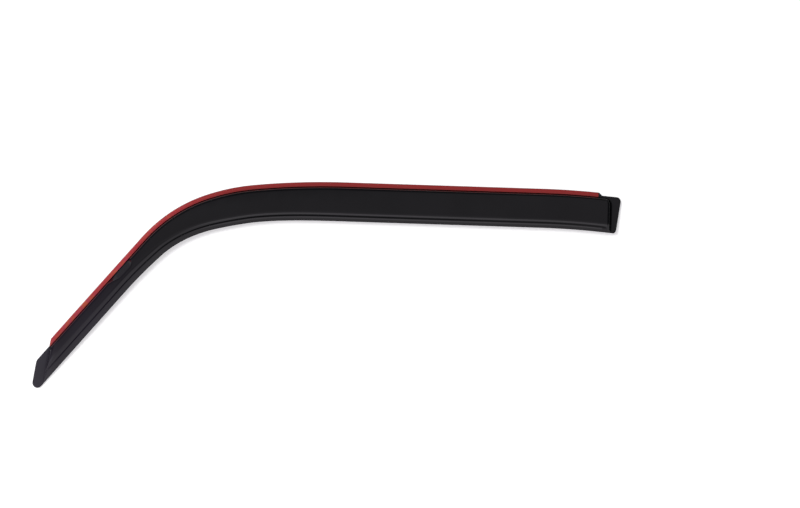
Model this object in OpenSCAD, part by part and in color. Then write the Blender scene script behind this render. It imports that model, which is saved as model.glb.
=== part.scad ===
// Window rain deflector for the front side window of a car, the kind whose flange sits in the
// window channel. It lies outer face up, as it comes to rest: the straight run of the flange and
// the pillar tip touch the ground, and the pillar stretch arches over it. X runs along the window,
// with the rear end at +X and the pillar tip at -X and -Y. The origin is at the middle of the
// footprint, on the ground. The other side of the car takes the mirror image.
//
// The sheet is a loft: stations cross it from the flange's outer edge, where s is the distance
// along that edge from the flange's rear end, to the lower edge, where v is the distance from the
// flange's edge. Both sides of the sheet are height functions of s and v over one plan.

/* [Outer edge of the flange] */
// Slope of the edge at its rear end
rear_heading = 5.9; // [4.5:0.1:9]
// Length of the drooping stretch at the rear end
droop_len = 83; // [60:1:120]
// Turn of the drooping stretch
droop_turn = 4.05; // [1:0.05:4.4]
// Length of the straight run over the window
run_len = 285.5; // [200:0.5:420]
// Length of the easy bend ahead of the run
lead_len = 133; // [90:0.5:180]
// Turn of the easy bend
lead_turn = 7; // [4:0.1:10]
// Length of the shoulder bend
shoulder_len = 70.5; // [50:0.5:110]
// Turn of the shoulder bend
shoulder_turn = 13.2; // [8:0.1:18]
// Length of the corner bend
corner_len = 112; // [85:0.5:150]
// Turn of the corner bend
corner_turn = 29.8; // [20:0.1:36]
// Length of the straight stretch down the pillar, to the end of the flange
pillar_len = 198.5; // [180:0.5:300]

/* [Sheet] */
// Thickness of the acrylic sheet
wall = 2.5; // [1.8:0.1:3]
// Full width over the window, from the flange's edge to the lower edge
run_w = 56.8; // [50:0.1:80]
// Full width down the pillar
pillar_w = 34.9; // [33:0.1:45]
// Where the narrowing starts, past the easy bend
taper_start = 19; // [0:1:40]
// How far the narrowing goes on past the corner bend
taper_tail = 71; // [30:1:90]
// Width lost gently over the easy bend, before the narrowing proper
lead_loss = 2.7; // [0:0.1:5]
// Radius of the side glass, which the sheet follows like a barrel
glass_radius = 1300; // [900:50:3000]

/* [Step between flange and face] */
// Height of the face above the flange
step_rise = 9; // [6:0.1:12]
// Plan width of the step's sloping side
step_run = 1.6; // [1:0.1:3]
// Outer radius at the foot of the step
foot_r = 0.8; // [0.4:0.1:1.5]
// Outer radius at the top of the step
top_r = 1.6; // [0.8:0.1:2.4]

/* [Face, crease and lip] */
// How far the face falls from the step to the roll
face_fall = 0.7; // [0:0.1:2]
// Width of the roll above the crease
roll_w = 5.8; // [4:0.1:8]
// How far the roll falls
roll_fall = 1.15; // [0.5:0.05:2]
// Width of the crease
crease_w = 3.4; // [2:0.1:5]
// How far the crease's floor leans back towards the step
crease_lean = 9; // [0:0.5:15]
// Width of the lip over the window, from the middle of the crease
lip_w = 7.7; // [6:0.1:10]
// Width of the lip down the pillar
pillar_lip_w = 9; // [6:0.1:10]
// Slope of the lip
lip_slope = 22; // [10:1:30]
// Radius along the lip's lower edge
edge_r = 0.9; // [0.4:0.1:1.2]

/* [Rear end] */
// Reach of the rear tab past the flange's end
rear_reach = 33; // [28:0.1:45]
// Distance from the flange's end to the foot of the rear end wall
rear_wall = 18.4; // [12:0.1:19]
// Plan width of the rear end wall's slope
rear_wall_run = 3.4; // [2:0.1:4]
// Plan radius where the rear end wall meets the step
rear_wall_r = 9.5; // [4:0.1:12]
// Distance of the rear tab's top edge from the line of the flange's edge
rear_inset = 4; // [2:0.1:5]
// Length of the slanting cut that ends the flange
rear_cut = 4.3; // [1:0.1:6]
// Slant of the tab's end edge against its wall
rear_slant = 7.5; // [0:0.5:12]
// Radius of the rear tab's corners
rear_r = 6; // [2:0.1:8]

/* [Pillar tip] */
// Angle between the tip's end edge and the pillar line
tip_angle = 31; // [28:0.1:60]
// Reach of the tip tab past the flange's end, along the line of the flange's edge
tip_reach = 29; // [24:0.1:40]
// Distance from the top of the tip's end wall to the end of the flange
tip_crest = 8.3; // [6:0.1:14]
// Plan width of the tip end wall's slope
tip_wall_run = 4.4; // [3:0.1:5.5]
// Plan radius where the tip end wall meets the step
tip_wall_r = 3; // [1:0.1:5]
// Distance of the tip tab's top edge from the line of the flange's edge
tip_inset = 5.3; // [3:0.1:5.5]
// Radius of the rounded nose
nose_r = 7.2; // [5:0.1:10]
// Radius of the tip tab's upper corner
tip_r = 11; // [3:0.5:12]
// Length over which the stations swing from square to the tip's slant
swing_len = 92; // [70:1:105]

/* [Relief in the pillar step] */
// Distance from the relief's upper end to the end of the flange
relief_from_tip = 163; // [158:1:190]
// Length of the relief
relief_len = 47; // [40:1:50]
// How much wider the step's slope gets in the relief
relief_w = 7.6; // [3:0.1:9]
// Length of the relief's rounded upper end
relief_head = 10; // [6:0.5:14]
// Length of the relief's tapering lower end
relief_tail = 20; // [12:0.5:24]

/* [Tape and liner] */
// Width of the foam tape and its liner
tape_w = 6; // [4:0.1:8]
// Distance of the tape from the flange's edge
tape_margin = 0.3; // [0.2:0.1:1.5]
// Gap between the tape and the rounding at the foot of the step
tape_gap = 0.1; // [0.1:0.1:1]
// Thickness of the foam tape
tape_t = 0.8; // [0.5:0.1:1.6]
// Thickness of the liner
liner_t = 0.2; // [0.1:0.05:0.4]
// Distance of the tape's rear end from the flange's end
tape_rear_gap = 1; // [0.2:0.1:5]
// Distance of the tape's tip end from the flange's end
tape_tip_gap = 0.4; // [0.2:0.1:3]
// Radius of the tape's outer corner at the tip
tape_end_r = 12; // [4:0.5:16]

/* [Hidden] */
smoke_colour = "#1d1d21";
foam_colour = "#4a4a4d";
liner_colour = "#b0272f";

// Lengths and turns of the flange's edge, in order from the rear end
EDGE = [
    [droop_len, -droop_turn],
    [run_len, 0],
    [lead_len, -lead_turn],
    [shoulder_len, -shoulder_turn],
    [corner_len, -corner_turn],
    [pillar_len, 0],
];
run_heading = rear_heading - droop_turn;
run_end = droop_len + run_len;
lead_end = run_end + lead_len;
shoulder_end = lead_end + shoulder_len;
corner_end = shoulder_end + corner_len;
flange_end = corner_end + pillar_len;
rear_end = -rear_reach;
tip_end = flange_end + tip_reach;
rear_foot = -rear_wall;
relief_start = flange_end - relief_from_tip;
relief_end = relief_start + relief_len;
taper_from = lead_end + taper_start;
taper_to = corner_end + taper_tail;
tip_sin = sin(tip_angle);
tip_slope_len = tip_wall_run / tip_sin;
tip_foot = flange_end - tip_crest + tip_slope_len;
swing_start = flange_end - tip_crest - swing_len;
crease_fade = 12;
crease_in = 0.3;
crease_out = 0.75;
cut_step = 0.3;
least_r = 0.3;
// Clearance that keeps the tape's facets off the sheet's where both are curved
tape_seat = 0.02;
// Plan length of the rounding at the foot of the step, and the step's own foot
foot_rounding = foot_r * tan(atan2(step_rise, step_run) / 2);
step_foot = tape_margin + tape_w + tape_gap + foot_rounding;

// A smooth step from 0 to 1
function ease(t) = let (c = min(max(t, 0), 1)) c * c * (3 - 2 * c);

// n equal steps from a to b, without b itself
function steps(a, b, n) = [for (i = [0:n - 1]) a + (b - a) * i / n];

// Plan vector from one end of an arc to the other
function chord(length, heading, turn) =
    let (
        half = turn / 2,
        shrink = abs(half) < 0.0001 ? 1 : sin(half) * 180 / (PI * half)
    )
    length * shrink * [-cos(heading + half), sin(heading + half)];

function edge_heading(s, i = 0, h = rear_heading) =
    s <= 0 || i >= len(EDGE) ? h
    : s < EDGE[i][0] ? h + EDGE[i][1] * s / EDGE[i][0]
    : edge_heading(s - EDGE[i][0], i + 1, h + EDGE[i][1]);

function edge_point(s, i = 0, h = rear_heading, p = [0, 0]) =
    s <= 0 || i >= len(EDGE) ? p + chord(s, h, 0)
    : s < EDGE[i][0] ? p + chord(s, h, EDGE[i][1] * s / EDGE[i][0])
    : edge_point(s - EDGE[i][0], i + 1, h + EDGE[i][1], p + chord(EDGE[i][0], h, EDGE[i][1]));

// Lean of the station at s: how far it moves along the edge for each millimetre across
function lean(s) =
    s < droop_len
    ? -tan(edge_heading(s) - run_heading) + tan(rear_slant) * ease((rear_foot - s) / (rear_foot - rear_end))
    : ease((s - swing_start) / swing_len) / tan(tip_angle);

// The narrowing from the run to the pillar, 0 to 1
function narrowing(s) = ease((s - taper_from) / (taper_to - taper_from));

function full_width(s) =
    let (lead = lead_loss * ease((s - run_end) / lead_len))
    run_w - lead - (run_w - lead_loss - pillar_w) * narrowing(s);

function lip_width(s) = lip_w + (pillar_lip_w - lip_w) * narrowing(s);

// Plan point at distance s along the edge and v across
function plan(s, v) =
    let (h = edge_heading(s))
    edge_point(s) + v * ([-sin(h), -cos(h)] + lean(s) * [-cos(h), sin(h)]);

// What a round corner takes off a station at distance e from the end edge; phi is the corner's angle
function corner_trim(e, r, phi) =
    e >= r * (1 + cos(phi)) ? 0
    : sin(phi) * (r / tan(phi / 2) - sqrt(r * r - (r - e) * (r - e)) - e / tan(phi));

function rear_e(s) = s - rear_end;
function tip_e(s) = (tip_end - s) * tip_sin;

// First and last v of the station at s
function v_first(s) =
    s >= 0 && s <= flange_end ? 0
    : s > flange_end
    ? min((s - flange_end) / cut_step, 1) * tip_inset + corner_trim(tip_e(s), tip_r, 180 - tip_angle)
    : min(-s / rear_cut, 1) * rear_inset + corner_trim(rear_e(s), rear_r, 90 - rear_slant);

function v_last(s) =
    full_width(s)
    - corner_trim(tip_e(s), nose_r, tip_angle)
    - corner_trim(rear_e(s), rear_r, 90 + rear_slant);

// Height of a slope with a rounded foot and top, from 0 before it to rise after it
function slope_height(d, rise, run, foot_radius, top_radius) =
    let (
        a = atan2(rise, run),
        foot_t = foot_radius * tan(a / 2),
        top_t = top_radius * tan(a / 2)
    )
    d <= -foot_t ? 0
    : d < foot_t * cos(a) ? foot_radius - sqrt(foot_radius * foot_radius - (d + foot_t) * (d + foot_t))
    : d < run - top_t * cos(a) ? d * rise / run
    : d < run + top_t
    ? rise - top_radius + sqrt(top_radius * top_radius - (run + top_t - d) * (run + top_t - d))
    : rise;

// How far the relief has opened at s, 0 to 1
function relief(s) =
    let (x = s - relief_start)
    x <= 0 || x >= relief_len ? 0
    : x < relief_head ? sqrt(1 - (1 - x / relief_head) * (1 - x / relief_head))
    : 1 - ease((x - (relief_len - relief_tail)) / relief_tail) * 0.8;

function side_run(s) = step_run + relief_w * relief(s);

// Distance inside the foot of the nearer end wall, and that wall's plan width
function end_along(s) = s < run_end ? s - rear_foot : (tip_foot - s) * tip_sin;
function end_run(s) = s < run_end ? rear_wall_run : tip_wall_run;

// Distance inside the raised face's plan, round where an end wall meets the step; stretch is how
// much wider the end wall's slope is than the step's
function inside(across, along, r, stretch) =
    across < r && along < r
    ? let (p = r - across, q = r - along, d = max(norm([p, q]), least_r))
      (r - d) / (1 + (stretch - 1) * q * q / (d * d))
    : min(across, along / stretch);

// Fall over the crease at u from 0 to 1, where the slope goes from first to middle to last
function crease_fall(u, first, middle, last) =
    let (
        p = min(u, crease_in),
        q = min(max(u - crease_in, 0), crease_out - crease_in),
        r = max(u - crease_out, 0)
    )
    first * p + (middle - first) * p * p / (2 * crease_in) + middle * (q + r)
    + (last - middle) * r * r / (2 * (1 - crease_out));

// How far the outer face has fallen at v, below the top of the step; the crease dies out at the
// rear end wall
function fall(s, v) =
    let (
        crease_start = full_width(s) - lip_width(s) - crease_w / 2,
        start = step_foot + step_run,
        roll_start = crease_start - roll_w,
        t = max(v - start, 0) / (roll_start - start),
        roll = max(min(v, crease_start) - roll_start, 0) / roll_w,
        u = min(max(v - crease_start, 0) / crease_w, 1),
        roll_slope = 2 * roll_fall / roll_w,
        plain = (roll_slope + tan(lip_slope)) / 2,
        fade = ease((s - rear_foot - rear_wall_run) / crease_fade),
        middle = plain - (plain + tan(crease_lean)) * fade
    )
    face_fall * t * t + roll_fall * roll * roll
    + crease_w * crease_fall(u, roll_slope, middle, tan(lip_slope))
    + max(v - crease_start - crease_w, 0) * tan(lip_slope);

function edge_rounding(s, v) =
    let (t = min(max((v - v_last(s)) / edge_r + 1, 0), 1))
    edge_r * (1 - sqrt(1 - t * t));

// Shift of an inner slope against the outer one, which keeps the wall even
function even_shift(run) = wall * tan(atan2(step_rise, run) / 2);
inner_shift = even_shift(step_run);

function raised(s, v, inner, foot_radius, top_radius) =
    let (
        run = end_run(s),
        r = s < run_end ? rear_wall_r : tip_wall_r,
        across = v - step_foot - inner * inner_shift,
        along = end_along(s) - inner * even_shift(run),
        d = inside(across, along, r, run / step_run)
    )
    slope_height(d, step_rise, side_run(s), foot_radius, top_radius) / step_rise * (step_rise - fall(s, v));

function outer_height(s, v) =
    let (z = raised(s, v, 0, foot_r, top_r))
    wall + z - edge_rounding(s, v) * z / step_rise;

function inner_height(s, v) =
    raised(s, v, 1, foot_r + wall, max(top_r - wall, least_r));

// The barrel of the side glass: its axis follows the straight run, and it is 0 at run and nose
run_start = edge_point(droop_len);
run_across = [-sin(run_heading), -cos(run_heading)];
function drop(p) = (p - run_start) * run_across;
nose_drop = max([for (s = steps(flange_end, tip_end, 12)) drop(plan(s, v_last(s)))]);
function barrel(p) = drop(p) * (nose_drop - drop(p)) / (2 * glass_radius);

// Values of v at which a slope is drawn: round its foot and round its top
function slope_stops(s, shift, foot_radius, top_radius) =
    let (
        a = atan2(step_rise, side_run(s)),
        start = step_foot + shift,
        foot_t = foot_radius * tan(a / 2),
        top_t = top_radius * tan(a / 2),
        top = start + side_run(s)
    )
    concat(
        [for (k = [0, 0.5, 1]) start - foot_t + foot_radius * sin(a * k)],
        [for (k = [1, 0.67, 0.33, 0]) top + top_t - top_radius * sin(a * k)]
    );

// Values of v for one side of the sheet, from the flange's edge to the lower edge
function stops(s, shift, foot_radius, top_radius) =
    let (
        last = v_last(s),
        crease = full_width(s) - lip_width(s) - crease_w / 2,
        slope = slope_stops(s, shift, foot_radius, top_radius),
        top = slope[len(slope) - 1],
        roll = max(crease - roll_w, top + 1),
        lip = crease + crease_w
    )
    concat(
        [0, tape_margin, tape_margin + tape_w],
        slope,
        [for (k = [0.15, 0.4, 0.7, 1]) top + (roll - top) * k],
        [for (k = [0.4, 0.7]) roll + (crease - roll) * k],
        [for (k = [0, 0.15, crease_in, crease_out, 1]) crease + crease_w * k],
        [lip + (last - edge_r - lip) * 0.5],
        [last - edge_r, last - edge_r * 0.3, last]
    );

// Squeezes the stops between the first and last v of their station, and spreads them over a tab
function fitted(s, list) =
    let (
        first = v_first(s),
        last = v_last(s),
        n = len(list) - 1,
        hinge = list[3],
        in_tab = end_along(s) < -foot_r * end_run(s) / step_run
    )
    [
        for (j = [0:n])
            in_tab || first >= hinge ? first + (last - first) * j / n
            : list[j] < hinge ? first + list[j] * (hinge - first) / hinge
            : min(list[j], last - (n - j) * edge_r * 0.1)
    ];

// Every station, from the end of the rear tab to the end of the tip tab
rear_slope = [-1, -0.3, 0.2, 0.5, 0.8, 1.1, 1.5, 2, 2.6];
tip_slope = [for (k = [3, 2.3, 1.8, 1.45, 1.2, 1, 0.75, 0.4, 0.1, -0.1, -0.25, -0.45]) tip_foot - k * tip_slope_len];
tip_nose = [for (a = [90:-9:0]) tip_end - (tip_reach - cut_step) * (1 - cos(a))];
tip_wall_end = tip_slope[len(tip_slope) - 1];
stations = concat(
    [for (a = [0:18:90]) rear_end + rear_r * (1 - cos(a))],
    [for (k = rear_slope) rear_foot + rear_wall_run * k],
    [-rear_cut],
    steps(0, droop_len, 5),
    steps(droop_len, run_end, 4),
    steps(run_end, lead_end, 6),
    steps(lead_end, shoulder_end, 6),
    steps(shoulder_end, corner_end, 11),
    steps(corner_end, relief_start, 4),
    [for (k = [0, 0.02, 0.1, 0.25, 0.5, 0.75]) relief_start + relief_head * k],
    steps(relief_start + relief_head, relief_end - relief_tail, 3),
    steps(relief_end - relief_tail, relief_end, 6),
    [relief_end],
    steps(relief_end + cut_step, tip_slope[0], 8),
    [for (s = tip_slope) if (s < flange_end - cut_step) s],
    [flange_end, tip_nose[0]],
    [for (s = tip_slope) if (s > tip_nose[0] + cut_step) s],
    [for (s = tip_nose) if (s > max(tip_nose[0], tip_wall_end) + cut_step) s]
);

// Moves the plan's middle over the origin and the lowest point to the ground
function solid_point(s, v, z) =
    let (p = plan(s, v))
    [p[0], p[1], z + barrel(p)];
outer_raw = [
    for (s = stations)
        [for (v = fitted(s, stops(s, 0, foot_r, top_r))) solid_point(s, v, outer_height(s, v))]
];
inner_raw = [
    for (s = stations)
        [
            for (v = fitted(s, stops(s, inner_shift, foot_r + wall, max(top_r - wall, least_r))))
                solid_point(s, v, inner_height(s, v))
        ]
];
all_raw = [for (row = outer_raw) each row];
origin = [
    (min([for (p = all_raw) p[0]]) + max([for (p = all_raw) p[0]])) / 2,
    (min([for (p = all_raw) p[1]]) + max([for (p = all_raw) p[1]])) / 2,
    min([for (row = inner_raw) min([for (p = row) p[2]])]),
];

// A closed solid between two grids of points with the same rows and columns
module sheet(top, bottom) {
    rows = len(top);
    cols = len(top[0]);
    under = rows * cols;
    quads = concat(
        [
            for (i = [0:rows - 2], j = [0:cols - 2])
                [i * cols + j, i * cols + j + 1, (i + 1) * cols + j + 1, (i + 1) * cols + j]
        ],
        [
            for (i = [0:rows - 2], j = [0:cols - 2])
                [for (k = [i * cols + j, (i + 1) * cols + j, (i + 1) * cols + j + 1, i * cols + j + 1]) under + k]
        ],
        [for (i = [0:rows - 2]) [i * cols, (i + 1) * cols, under + (i + 1) * cols, under + i * cols]],
        [
            for (i = [1:rows - 1])
                let (a = i * cols + cols - 1, b = i * cols - 1)
                [a, b, under + b, under + a]
        ],
        [for (j = [0:cols - 2]) [j + 1, j, under + j, under + j + 1]],
        [
            for (j = [0:cols - 2])
                let (a = (rows - 1) * cols + j)
                [a, a + 1, under + a + 1, under + a]
        ]
    );
    polyhedron(
        points = [for (grid = [top, bottom], row = grid, p = row) p - origin],
        faces = [for (q = quads) each [[q[0], q[1], q[2]], [q[0], q[2], q[3]]]],
        convexity = 8
    );
}

// A strip of tape on the flange, from height z0 to z1 above the flange's inner side
tape_start = tape_rear_gap;
tape_stop = flange_end - tape_tip_gap;
tape_round = tape_end_r * (1 - cos(tip_angle)) / tip_sin;
tape_stations = concat(
    [tape_start],
    [for (s = stations) if (s > tape_start + cut_step && s < tape_stop - tape_round - cut_step) s],
    [for (k = [1, 0.7, 0.45, 0.25, 0.1, 0]) tape_stop - tape_round * k]
);
function tape_first(s) =
    tape_margin + corner_trim((tape_stop - s) * tip_sin, tape_end_r, 180 - tip_angle);

module strip(z0, z1) {
    function grid(z) = [
        for (s = tape_stations)
            [for (v = [tape_first(s), tape_margin + tape_w]) solid_point(s, v, z)]
    ];
    sheet(grid(z1), grid(z0));
}

module deflector_shell() {
    color(smoke_colour)
        sheet(outer_raw, inner_raw);
}

module foam_tape() {
    color(foam_colour)
        strip(wall + tape_seat, wall + tape_seat + tape_t);
}

module release_liner() {
    color(liner_colour)
        strip(wall + tape_seat + tape_t, wall + tape_seat + tape_t + liner_t);
}

deflector_shell();
foam_tape();
release_liner();
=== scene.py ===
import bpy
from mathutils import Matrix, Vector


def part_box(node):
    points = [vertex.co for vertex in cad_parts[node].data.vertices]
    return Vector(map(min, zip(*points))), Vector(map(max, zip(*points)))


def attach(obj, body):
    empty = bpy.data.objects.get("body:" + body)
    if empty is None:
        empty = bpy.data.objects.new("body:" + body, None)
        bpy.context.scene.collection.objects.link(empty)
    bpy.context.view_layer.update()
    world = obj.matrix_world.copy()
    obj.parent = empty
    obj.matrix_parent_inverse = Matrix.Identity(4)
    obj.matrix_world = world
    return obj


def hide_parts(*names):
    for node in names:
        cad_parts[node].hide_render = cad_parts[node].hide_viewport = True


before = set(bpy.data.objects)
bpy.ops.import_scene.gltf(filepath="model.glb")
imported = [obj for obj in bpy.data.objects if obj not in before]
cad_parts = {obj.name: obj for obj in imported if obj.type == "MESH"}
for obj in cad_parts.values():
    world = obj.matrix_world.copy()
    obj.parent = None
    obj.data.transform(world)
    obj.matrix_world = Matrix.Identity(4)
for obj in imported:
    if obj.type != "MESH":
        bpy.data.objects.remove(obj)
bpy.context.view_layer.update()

import math

import bpy
from bpy.props import FloatProperty, FloatVectorProperty, PointerProperty
from bpy.types import Operator, Panel, PropertyGroup
from mathutils import Vector

bl_info = {
    "name": "Window rain deflector",
    "version": (1, 0, 0),
    "blender": (4, 5, 0),
    "location": "View3D > Sidebar > Deflector",
    "description": "Builds a smoked acrylic window deflector with its foam tape, its liner and a studio",
    "category": "Add Mesh",
}


def linear(hex_colour):
    """Turns an sRGB hex colour into linear red, green, blue and alpha."""
    channels = [int(hex_colour[i:i + 2], 16) / 255 for i in (1, 3, 5)]
    return (*(c / 12.92 if c <= 0.04045 else ((c + 0.055) / 1.055) ** 2.4 for c in channels), 1.0)


def length(name, mm, text):
    """A length property with its default given in millimetres."""
    return FloatProperty(name=name, description=text, default=mm / 1000, min=0, precision=4, unit="LENGTH")


def position(name, mm, text):
    """A coordinate property with its default given in millimetres."""
    return FloatProperty(name=name, description=text, default=mm / 1000, precision=4, unit="LENGTH")


def brightness(name, value, text):
    """A property for the level of a light or of a bright surface."""
    return FloatProperty(name=name, description=text, default=value, min=0)


def angle(name, degrees, text):
    """An angle property with its default given in degrees."""
    return FloatProperty(name=name, description=text, default=math.radians(degrees), min=0, unit="ROTATION")


def colour(name, hex_colour, text):
    """A colour property with its default given as an sRGB hex value."""
    return FloatVectorProperty(
        name=name, description=text, default=linear(hex_colour), size=4, min=0, max=1, subtype="COLOR"
    )


class EdgeSizes(PropertyGroup):
    """The outer edge of the flange, from its rear end to the pillar tip."""

    rear_heading: angle("Rear slope", 5.9, "Slope of the edge at its rear end")
    droop_len: length("Droop", 83, "Length of the drooping stretch at the rear end")
    droop_turn: angle("Droop turn", 4.05, "Turn of the drooping stretch")
    run_len: length("Run", 285.5, "Length of the straight run over the window")
    lead_len: length("Easy bend", 133, "Length of the easy bend ahead of the run")
    lead_turn: angle("Easy turn", 7, "Turn of the easy bend")
    shoulder_len: length("Shoulder", 70.5, "Length of the shoulder bend")
    shoulder_turn: angle("Shoulder turn", 13.2, "Turn of the shoulder bend")
    corner_len: length("Corner", 112, "Length of the corner bend")
    corner_turn: angle("Corner turn", 29.8, "Turn of the corner bend")
    pillar_len: length("Pillar", 198.5, "Length of the straight stretch down the pillar")


class SheetSizes(PropertyGroup):
    """The acrylic sheet across its width."""

    wall: length("Wall", 2.5, "Thickness of the acrylic sheet")
    run_w: length("Run width", 56.8, "Full width over the window")
    pillar_w: length("Pillar width", 34.9, "Full width down the pillar")
    taper_start: length("Taper start", 19, "Where the narrowing starts, past the easy bend")
    taper_tail: length("Taper tail", 71, "How far the narrowing goes on past the corner bend")
    lead_loss: length("Early loss", 2.7, "Width lost gently over the easy bend")
    glass_radius: length("Glass radius", 1300, "Radius of the side glass that the sheet follows")
    step_rise: length("Step height", 9, "Height of the face above the flange")
    step_run: length("Step run", 1.6, "Plan width of the step's slope")
    foot_r: length("Foot radius", 0.8, "Outer radius at the foot of the step")
    top_r: length("Top radius", 1.6, "Outer radius at the top of the step")
    soft_top_w: length("Soft top", 3.2, "Width of the face beside the step that leans towards it")
    soft_top_fall: length("Soft top fall", 0.34, "How far the soft top falls towards the step")
    face_fall: length("Face fall", 0.7, "How far the face falls before the roll")
    roll_w: length("Roll width", 5.8, "Width of the roll above the crease")
    roll_fall: length("Roll fall", 1.15, "How far the roll falls")
    crease_w: length("Crease width", 3.4, "Width of the crease")
    crease_lean: angle("Crease lean", 9, "How far the crease's floor leans back towards the step")
    groove: length("Pillar groove", 0.6, "How much deeper the crease is down the pillar")
    crease_fade: length("Crease fade", 12, "Length over which the crease dies out at the rear end")
    lip_w: length("Lip width", 7.7, "Width of the lip over the window")
    pillar_lip_w: length("Pillar lip", 9, "Width of the lip down the pillar")
    lip_slope: angle("Lip slope", 22, "Slope of the lip")
    lip_start: angle("Lip start", 8, "How much flatter the lip starts beside the crease")
    lip_bend: length("Lip bend", 3.6, "Width over which the lip bends to its full slope")
    edge_r: length("Lower edge", 0.9, "Radius along the lip's lower edge")
    rim_r: length("Rim radius", 0.35, "Radius along the flange's cut edge")
    relief_from_tip: length("Relief place", 163, "Distance from the relief's upper end to the flange's end")
    relief_len: length("Relief length", 47, "Length of the relief in the pillar step")
    relief_w: length("Relief width", 7.6, "How much wider the step's slope gets in the relief")
    relief_head: length("Relief head", 10, "Length of the relief's rounded upper end")
    relief_tail: length("Relief tail", 20, "Length of the relief's tapering lower end")


class EndSizes(PropertyGroup):
    """The rear tab and the pillar tip."""

    rear_reach: length("Rear reach", 33, "Reach of the rear tab past the flange's end")
    rear_wall: length("Rear wall", 18.4, "Distance from the flange's end to the foot of the rear end wall")
    rear_wall_run: length("Rear wall run", 3.4, "Plan width of the rear end wall's slope")
    rear_wall_r: length("Rear wall radius", 9.5, "Plan radius where the rear end wall meets the step")
    rear_inset: length("Rear inset", 4, "Distance of the rear tab's top edge from the flange's line")
    rear_cut: length("Rear cut", 4.3, "Length of the slanting cut that ends the flange")
    rear_slant: angle("Rear slant", 7.5, "Slant of the tab's end edge against its wall")
    rear_r: length("Rear corners", 6, "Radius of the rear tab's corners")
    tip_angle: angle("Tip angle", 31, "Angle between the tip's end edge and the pillar line")
    tip_reach: length("Tip reach", 29, "Reach of the tip tab past the flange's end")
    tip_crest: length("Tip crest", 8.3, "Distance from the top of the tip's end wall to the flange's end")
    tip_wall_run: length("Tip wall run", 4.4, "Plan width of the tip end wall's slope")
    tip_wall_r: length("Tip wall radius", 3, "Plan radius where the tip end wall meets the step")
    tip_inset: length("Tip inset", 5.3, "Distance of the tip tab's top edge from the flange's line")
    nose_r: length("Nose radius", 7.2, "Radius of the rounded nose")
    tip_r: length("Tip corner", 11, "Radius of the tip tab's upper corner")
    swing_len: length("Swing", 92, "Length over which the stations swing to the tip's slant")


class TapeSizes(PropertyGroup):
    """The foam tape and its liner."""

    tape_w: length("Tape width", 6, "Width of the foam tape and its liner")
    tape_margin: length("Tape margin", 0.3, "Distance of the tape from the flange's edge")
    tape_gap: length("Tape gap", 0.1, "Gap between the tape and the rounding at the step's foot")
    tape_seat: length("Tape seat", 0.02, "Clearance between the tape and the sheet")
    tape_t: length("Tape thickness", 0.8, "Thickness of the foam tape")
    liner_t: length("Liner thickness", 0.2, "Thickness of the liner")
    tape_rear_gap: length("Rear gap", 1, "Distance of the tape's rear end from the flange's end")
    tape_tip_gap: length("Tip gap", 0.4, "Distance of the tape's tip end from the flange's end")
    tape_end_r: length("Tape corner", 12, "Radius of the tape's outer corner at the tip")


class FinishColours(PropertyGroup):
    """The colours of the three pieces."""

    smoke: colour("Smoke", "#0c0c0e", "Smoked acrylic over the window")
    # Painted light: the paler smoke down the pillar stands in for light on the same sheet
    smoke_pillar_painted_light: colour("Smoke, pillar", "#110d17", "Smoked acrylic down the pillar")
    # Painted light: the pale smoke of the tip tab stands in for the white ground showing through it
    smoke_tip_painted_light: colour("Smoke, tip", "#302e35", "Smoked acrylic of the tip tab")
    foam: colour("Foam", "#2c2c2f", "Acrylic foam tape")
    liner: colour("Liner", "#8f2a29", "Red release film")
    # Painted light: a brighter, redder copy of the same film, for round the corner and down the pillar
    liner_painted_brighter: colour("Liner, pillar", "#a83238", "Red release film round the corner and down the pillar")
    liner_worn: colour("Liner, worn", "#b5523a", "Orange patches of the release film")
    liner_pink: colour("Liner, pink", "#aa3e4e", "Pink patches of the release film")


class StudioSettings(PropertyGroup):
    """The camera, the light and the floor."""

    aim_x: position("Aim X", 106.6, "Point below the camera, along X")
    aim_y: position("Aim Y", 44.8, "Point below the camera, along Y")
    height: length("Camera height", 6000, "Height of the camera above the ground")
    field: length("Field width", 1160, "Width of the picture at the height of the sheet")
    field_z: length("Field height", 6, "Height above the ground at which the field width holds")
    key: brightness("Key", 0.72, "Light level of the key on the floor")
    room: brightness("Room", 0.32, "Radiance of the room overhead")
    front: brightness("Front", 0.74, "Radiance of the pale wall in front")
    strip: brightness("Strip", 1.35, "Radiance of the strip along the top of the wall in front")
    far: brightness("Far", 0.45, "Radiance of the low wall at the far side")
    glow: brightness("Glow", 0.46, "White added to the paper for the camera")
    paper: colour("Paper", "#e6e6e6", "Matt white paper that the part lies on")


# Shares of the crease at which its slope has turned in and starts to turn out, and where the
# pillar's groove is deepest
CREASE_IN = 0.3
CREASE_OUT = 0.75
GROOVE_DEEPEST = 0.4
# Share of the relief's extra width that its tapering end takes off
TAIL_LOSS = 0.8
# Columns across the sheet, as shares of the flange, the face, the roll, the crease and the lip
FLANGE_STOPS = (0.3, 0.7)
FACE_STOPS = (0.02, 0.045, 0.075, 0.11, 0.2, 0.32, 0.46, 0.6, 0.75, 0.88, 1)
ROLL_STOPS = (0.17, 0.33, 0.5, 0.67, 0.83)
CREASE_STOPS = (0, 0.08, 0.16, 0.23, 0.3, 0.45, 0.6, 0.75, 0.81, 0.87, 0.94, 1)
LIP_STOPS = (0.1, 0.2, 0.3, 0.4, 0.7)
# Rows at the tape's rounded end, as shares of its length
TAPE_END_STOPS = (1, 0.85, 0.7, 0.57, 0.45, 0.35, 0.25, 0.17, 0.1, 0.04, 0)
# How far the long sides of the tape and the film bulge, in metres, and how much of that their edges fall
FOAM_BULGE = 0.0001
FILM_BULGE = 0.00006
EDGE_DROP = 0.6
# Edges that turn by more than this are drawn sharp
SHARP_ANGLE = math.radians(50)
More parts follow.
